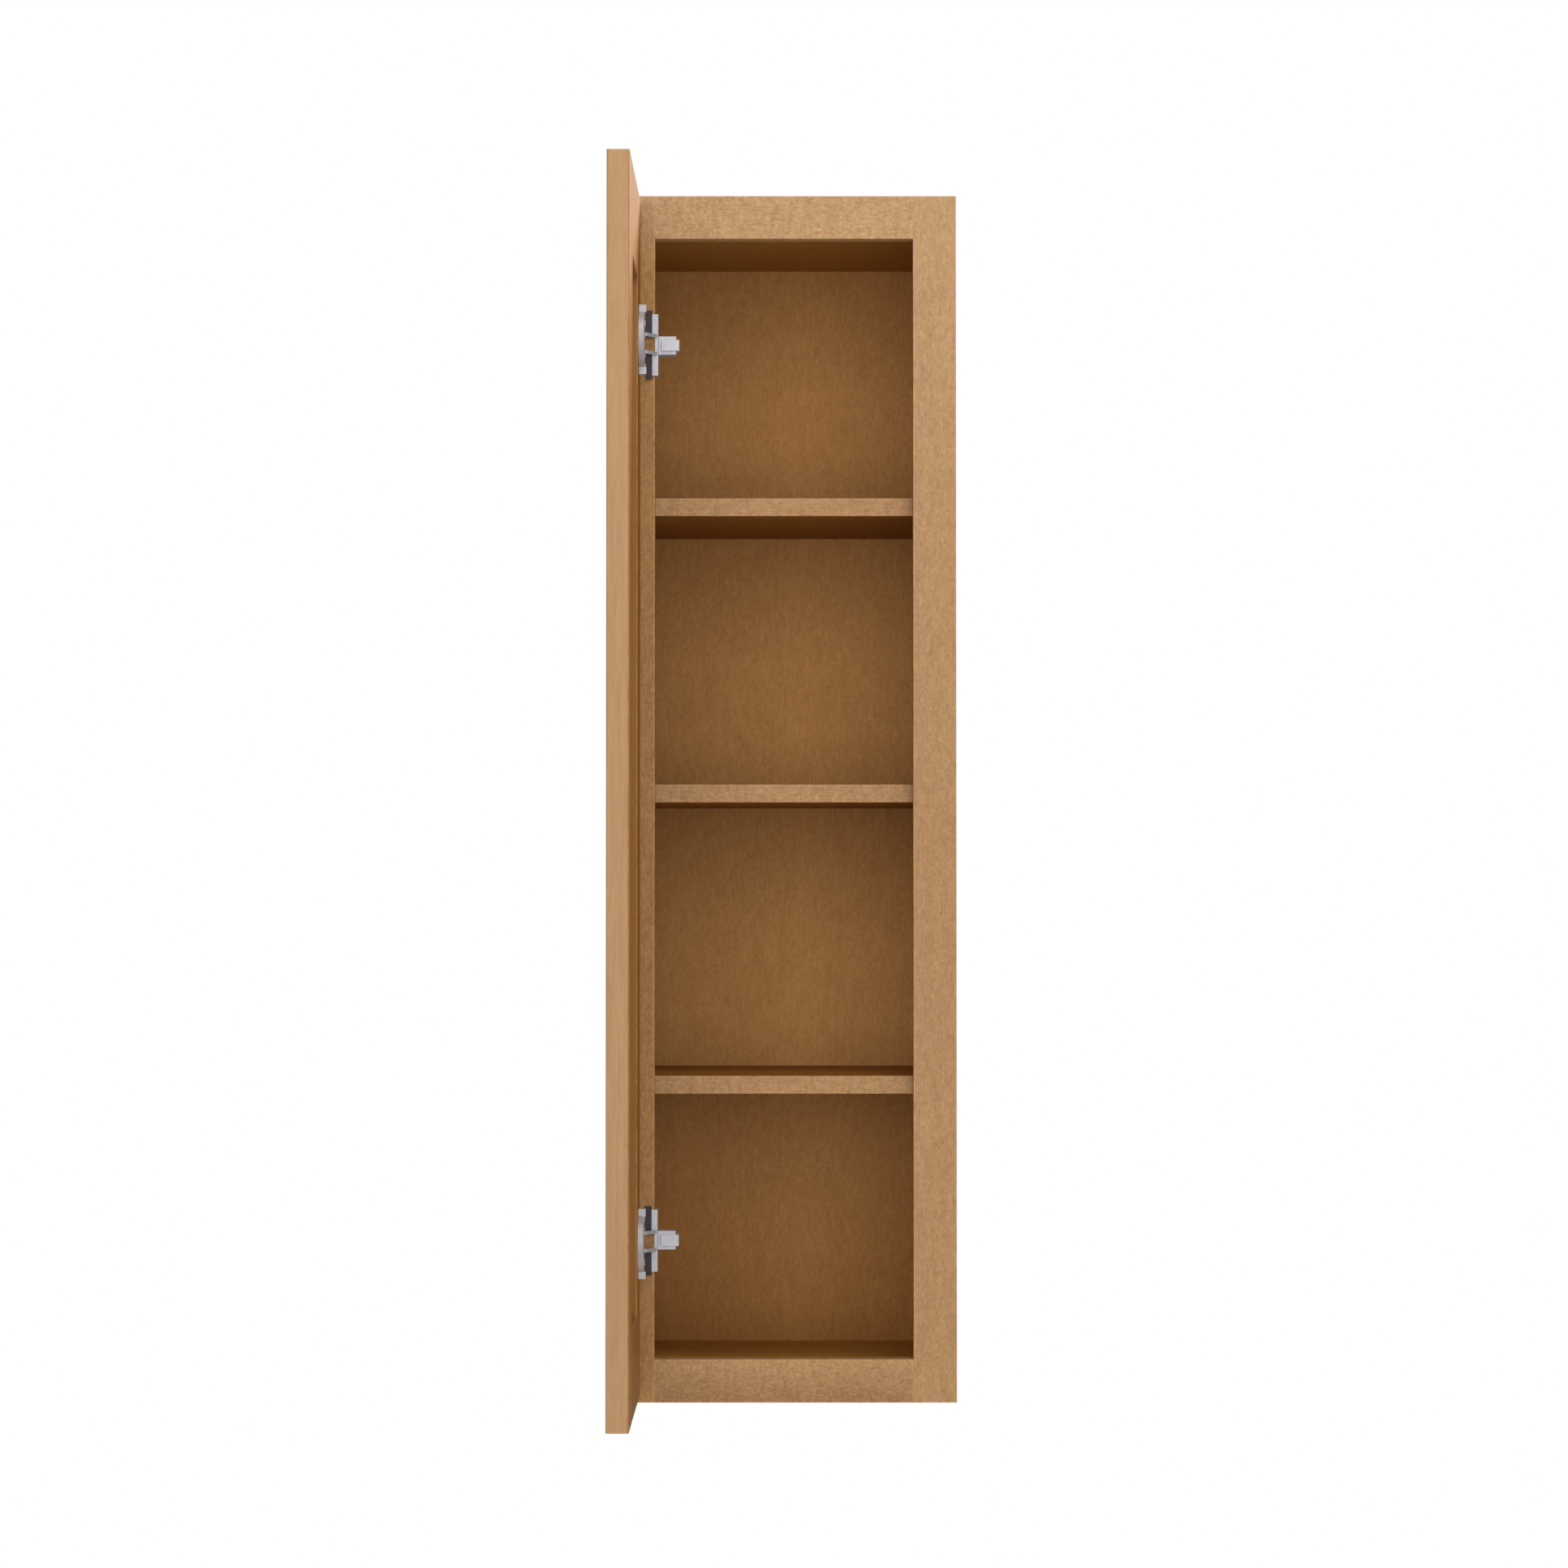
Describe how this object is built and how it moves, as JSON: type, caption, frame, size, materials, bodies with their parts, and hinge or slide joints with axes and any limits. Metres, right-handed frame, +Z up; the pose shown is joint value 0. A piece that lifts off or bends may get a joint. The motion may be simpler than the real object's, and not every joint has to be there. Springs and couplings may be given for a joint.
{
  "type": "hanging wall cabinet",
  "caption": "Tall narrow framed wall cabinet with one side-hung recessed-panel door, concealed hinges and lift-out shelves.",
  "frame": {"origin": "on the back (wall) plane, at the middle of the width, level with the underside of the case", "axes": "+X to the right seen from the front, +Y away from the viewer into the wall, +Z up; the front of the cabinet faces -Y"},
  "size_m": [0.3048, 0.6008, 1.0668],
  "materials": {
    "case_plywood": "satin stained maple plywood",
    "frame_maple": "satin stained solid maple",
    "dowel_beech": "plain beech",
    "brad_steel": "plain steel",
    "shelf_plywood": "satin stained maple plywood",
    "band_maple": "satin stained maple edge band",
    "pin_steel": "bright steel",
    "door_maple": "satin stained solid maple",
    "door_panel_maple": "satin stained maple panel",
    "hinge_nickel": "nickel plated",
    "hinge_housing": "metallic grey",
    "hinge_dark_steel": "dark plated",
    "screw_steel": "zinc plated",
    "spring_steel": "oiled spring wire"
  },
  "bodies": {
    "case": {"left_side_panel": "case_plywood", "right_side_panel": "case_plywood", "bottom_panel": "case_plywood", "top_panel": "case_plywood", "back_panel": "case_plywood", "back_brads": "brad_steel", "frame_left_stile": "frame_maple", "frame_right_stile": "frame_maple", "frame_bottom_rail": "frame_maple", "frame_top_rail": "frame_maple", "frame_dowels": "dowel_beech", "lower_shelf_pins": "pin_steel", "middle_shelf_pins": "pin_steel", "upper_shelf_pins": "pin_steel", "upper_hinge_gooseneck": "hinge_nickel", "upper_hinge_frame_plate": "hinge_nickel", "upper_hinge_wings": "hinge_dark_steel", "upper_hinge_arm_block": "hinge_nickel", "upper_hinge_adjusting_slide": "hinge_nickel", "upper_hinge_adjusting_screw": "screw_steel", "upper_hinge_frame_screws": "screw_steel", "lower_hinge_gooseneck": "hinge_nickel", "lower_hinge_frame_plate": "hinge_nickel", "lower_hinge_wings": "hinge_dark_steel", "lower_hinge_arm_block": "hinge_nickel", "lower_hinge_adjusting_slide": "hinge_nickel", "lower_hinge_adjusting_screw": "screw_steel", "lower_hinge_frame_screws": "screw_steel"},
    "door": {"door_hinge_stile": "door_maple", "door_free_stile": "door_maple", "door_bottom_rail": "door_maple", "door_top_rail": "door_maple", "door_panel": "door_panel_maple", "upper_hinge_cup": "hinge_nickel", "upper_hinge_cup_screws": "screw_steel", "upper_hinge_damper_housing": "hinge_housing", "upper_hinge_pin": "pin_steel", "upper_hinge_spring": "spring_steel", "lower_hinge_cup": "hinge_nickel", "lower_hinge_cup_screws": "screw_steel", "lower_hinge_damper_housing": "hinge_housing", "lower_hinge_pin": "pin_steel", "lower_hinge_spring": "spring_steel"},
    "lower_shelf_body": {"lower_shelf": "shelf_plywood", "lower_shelf_band": "band_maple"},
    "middle_shelf_body": {"middle_shelf": "shelf_plywood", "middle_shelf_band": "band_maple"},
    "upper_shelf_body": {"upper_shelf": "shelf_plywood", "upper_shelf_band": "band_maple"}
  },
  "joints": [
    {"name": "door_swing", "type": "hinge", "parent": "case", "child": "door", "pos_m": [-0.13645, -0.31825, 0.5334], "axis": [0, 0, 1], "range_deg": [-20, 90]},
    {"name": "lower_shelf_lift", "type": "slide", "parent": "case", "child": "lower_shelf_body", "axis": [0, 0, 1], "range_m": [0, 0.2]},
    {"name": "middle_shelf_lift", "type": "slide", "parent": "case", "child": "middle_shelf_body", "axis": [0, 0, 1], "range_m": [0, 0.2]},
    {"name": "upper_shelf_lift", "type": "slide", "parent": "case", "child": "upper_shelf_body", "axis": [0, 0, 1], "range_m": [0, 0.2]}
  ]
}
